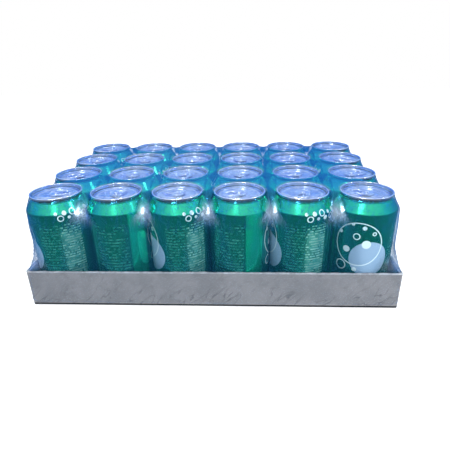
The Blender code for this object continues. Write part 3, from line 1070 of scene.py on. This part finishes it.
def ridges(u, v, seed):
    """Noise with sharp crests: one along a crest, down to zero between them."""
    return 1 - np.abs(2 * lattice_noise(u, v, seed) - 1)


def side_places(x, y):
    """Place along its side for each point, distance to the tray's corner, and the side's shift."""
    half_x, half_y = TRAY_HIGH.x, TRAY_HIGH.y
    on_long_side = np.abs(y) - half_y > np.abs(x) - half_x
    along = np.where(on_long_side, x, y)
    corner = np.where(on_long_side, half_x - np.abs(x), half_y - np.abs(y))
    shift = np.where(on_long_side, np.where(y < 0, 0, 17.3), np.where(x < 0, 31.1, 47.7))
    return along, corner, shift


def film_creases(points, normals, slack):
    """How far the film stands out in creases, in millimetres, point by point."""
    x, y, z = points.T
    along, corner, shift = side_places(x, y)
    pleats = ridges((along + PLEAT_LEAN * (z - TRAY_HIGH.z)) / 6.5 + 80 + shift, z / 60 + 3, 11)
    near_corner = np.exp(-((corner / PLEAT_REACH) ** 2)) * smooth_step(z, *PLEATS_START)
    creases = PLEAT_HEIGHT * pleats**2 * near_corner * (1 - smooth_step(z, *PLEATS_END))
    folds = ridges(along / 8 + 50 + shift, z / 45 + 9, 12)
    creases += FOLD_HEIGHT * folds**2 * slack * smooth_step(z, *FOLDS_START)
    crinkles = lattice_noise(along / 11 + shift, z / 8 + along / 23, 13)
    creases += CRINKLE_HEIGHT * crinkles**2 * (1 - smooth_step(z, *CRINKLES_END))
    hem = ridges(along / 8 + shift, z / 16, 14)
    creases += HEM_HEIGHT * hem**3 * (1 - smooth_step(z, *HEM_END))
    upright = smooth_step(np.hypot(normals[:, 0], normals[:, 1]), 0.35, 0.8)
    creases *= upright * smooth_step(z, *FOOT_RISE)
    ripple = lattice_noise(x / 9 + 40, y / 9 + 40, 15)
    ripple += 0.5 * lattice_noise(x / 5 + 7, y / 5 + 60, 16)
    return creases + (RIPPLE_HEIGHT + SLACK_RIPPLE_HEIGHT * slack) * ripple * (1 - upright)


def subdivided(mesh):
    """The mesh with each face split in four and smoothed."""
    helper = bpy.data.objects.new("helper", mesh)
    bpy.context.scene.collection.objects.link(helper)
    helper.modifiers.new("finer", "SUBSURF").levels = 1
    evaluated = helper.evaluated_get(bpy.context.evaluated_depsgraph_get())
    finer = bpy.data.meshes.new_from_object(evaluated)
    bpy.data.objects.remove(helper)
    return finer


def build_film():
    coarse = shell_mesh("film_grid", film_points_and_faces(), 180.0)
    relax_film(coarse, FILM_ROUNDS)
    mesh = subdivided(coarse)
    mesh.name = "film"
    points = relax_film(mesh, FILM_LAST_ROUNDS)
    normals = np.empty(len(points) * 3)
    mesh.vertex_normals.foreach_get("vector", normals)
    normals = normals.reshape(-1, 3)
    nearest, _ = room_to_cans(points, can_planes())
    slack = smooth_step(nearest, *SLACK_ROOM) * smooth_step(points[:, 2], *SLACK_START)
    mesh.attributes.new(SLACK, "FLOAT", "POINT").data.foreach_set("value", slack)
    points += normals * film_creases(points, normals, slack)[:, None]
    points = with_end_play(points)
    mesh.vertices.foreach_set("co", (points * MM).ravel())
    mesh.update()
    add_piece("film", mesh, film_material(), ["film_hood", "film_base"])


# Stage, lights and camera, in metres
WHITE = (1.0, 1.0, 1.0)
FLOOR_COLOUR = (0.86, 0.86, 0.84)
FLOOR_SIZE = 4.0
FLOOR_DROP = 0.0003
FLOOR_GLOW = 0.5
# Each lamp's name, place, target, size, power in watts, and whether reflections show it
LAMPS = (
    ("key", (-0.15, -0.62, 0.75), (0, -0.05, 0.1), (0.20, 0.20), 2.5, True),
    ("side_key", (0.87, -0.25, 0.85), (0, 0, 0.1), (0.12, 0.12), 0.9, True),
    ("overhead", (0.0, -0.12, 1.2), (0, 0, 0.12), (0.14, 0.14), 0.9, True),
    ("fill", (0.8, -0.8, 0.5), (0, 0, 0.05), (0.7, 0.6), 7, False),
    ("back_fill", (-0.9, 1.2, 0.8), (0, 0, 0.05), (0.7, 0.6), 7, False),
)
# Colours of the surroundings by the height of the direction, from -1 to 1
GROUND_IN_FRONT = ((0.12, (0.10, 0.13, 0.16)), (0.45, (0.55, 0.65, 0.80)), (0.60, WHITE))
SKY_BEHIND = (
    (-0.05, (0.12, 0.20, 0.32)),
    (0.08, (0.12, 0.29, 0.62)),
    (0.30, (0.13, 0.37, 0.98)),
    (0.43, (0.33, 0.61, 1.1)),
    (0.85, (0.85, 0.92, 1.0)),
)
CLOUD = (0.80, 0.88, 1.0)
CLOUD_SHARE, CLOUD_HEIGHTS, CLOUD_SOFT = 0.6, (0.15, 0.6), 0.1


def build_stage():
    mesh = bpy.data.meshes.new("floor")
    half = FLOOR_SIZE / 2
    corners = [(-half, -half, 0), (half, -half, 0), (half, half, 0), (-half, half, 0)]
    mesh.from_pydata(corners, [], [(0, 1, 2, 3)])
    floor = bpy.data.objects.new("floor", mesh)
    bpy.context.scene.collection.objects.link(floor)
    m = Material("pale_floor")
    m.finish(Base_Color=FLOOR_COLOUR, Roughness=0.9)
    mesh.materials.append(m.finish(Emission_Color=WHITE, Emission_Strength=FLOOR_GLOW))
    floor.location.z = -FLOOR_DROP
    floor.visible_glossy = False


def area_light(name, place, target, size, watts, reflected):
    data = bpy.data.lights.new(name, "AREA")
    data.energy = watts
    data.shape = "RECTANGLE"
    data.size, data.size_y = size
    light = bpy.data.objects.new(name, data)
    bpy.context.scene.collection.objects.link(light)
    light.location = place
    light.rotation_euler = (Vector(target) - light.location).to_track_quat("-Z", "Y").to_euler()
    light.visible_glossy = reflected


def build_lights():
    """Three small lamps for sharp highlights and two broad ones that only soften the shade."""
    for lamp in LAMPS:
        area_light(*lamp)


def build_world():
    """Even white for the camera; blue sky behind and dark ground in front for reflections."""
    world = bpy.data.worlds.new("studio")
    bpy.context.scene.world = world
    world.use_nodes = True
    m = Nodes(world.node_tree)
    direction = m.new("ShaderNodeTexCoord").outputs["Generated"]
    _, y, z = m.new("ShaderNodeSeparateXYZ", {0: direction}).outputs
    in_front = m.ramp(y, -0.8, -0.3, 1.0, 0.0)
    puffs = m.ramp(m.noise(direction, 4.0, 2.0), 0.45, 0.65)
    clouds = m.product(puffs, m.band(z, *CLOUD_HEIGHTS, CLOUD_SOFT), CLOUD_SHARE)
    sky = m.mix(clouds, m.steps(z, SKY_BEHIND), CLOUD)
    around = m.mix(in_front, sky, m.steps(z, GROUND_IN_FRONT))
    seen = m.new("ShaderNodeLightPath").outputs["Is Camera Ray"]
    m.feed(m.tree.nodes["Background"].inputs["Color"], m.mix(seen, around, WHITE))


def build_camera():
    data = bpy.data.cameras.new("camera")
    data.sensor_width = SENSOR_WIDTH
    data.lens = CAMERA_LENS
    camera = bpy.data.objects.new("camera", data)
    bpy.context.scene.collection.objects.link(camera)
    aim = Euler((math.radians(90 - CAMERA_PITCH), 0, math.radians(CAMERA_YAW))).to_matrix()
    roll = Matrix.Rotation(math.radians(CAMERA_ROLL), 3, "Z")
    camera.matrix_world = Matrix.Translation(CAMERA_PLACE) @ (aim @ roll).to_4x4()
    bpy.context.scene.camera = camera


bpy.context.scene.view_settings.view_transform = "Standard"
build_camera()
build_cans()
build_tray()
build_film()
build_stage()
build_lights()
build_world()
